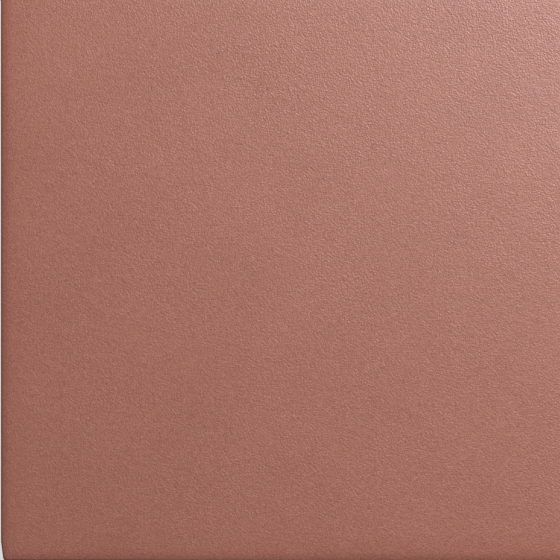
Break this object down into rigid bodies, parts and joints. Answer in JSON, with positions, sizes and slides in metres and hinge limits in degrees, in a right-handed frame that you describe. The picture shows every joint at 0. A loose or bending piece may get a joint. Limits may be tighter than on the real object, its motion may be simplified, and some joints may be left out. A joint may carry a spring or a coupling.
{
  "type": "porcelain tile",
  "caption": "Square unglazed porcelain floor tile in reddish brown, with a fine-grained wear face, a cushioned margin, a rounded rim and a keyed back",
  "frame": {"origin": "centre of the back of the tile, on the plane of its raised ribs", "axes": "+Z out of the wear face, +X and +Y along the sides"},
  "size_m": [0.2, 0.2, 0.0085],
  "materials": {
    "fired_body": "satin-matt, fine grained"
  },
  "bodies": {
    "root": {"tile_body": "fired_body"}
  },
  "joints": []
}
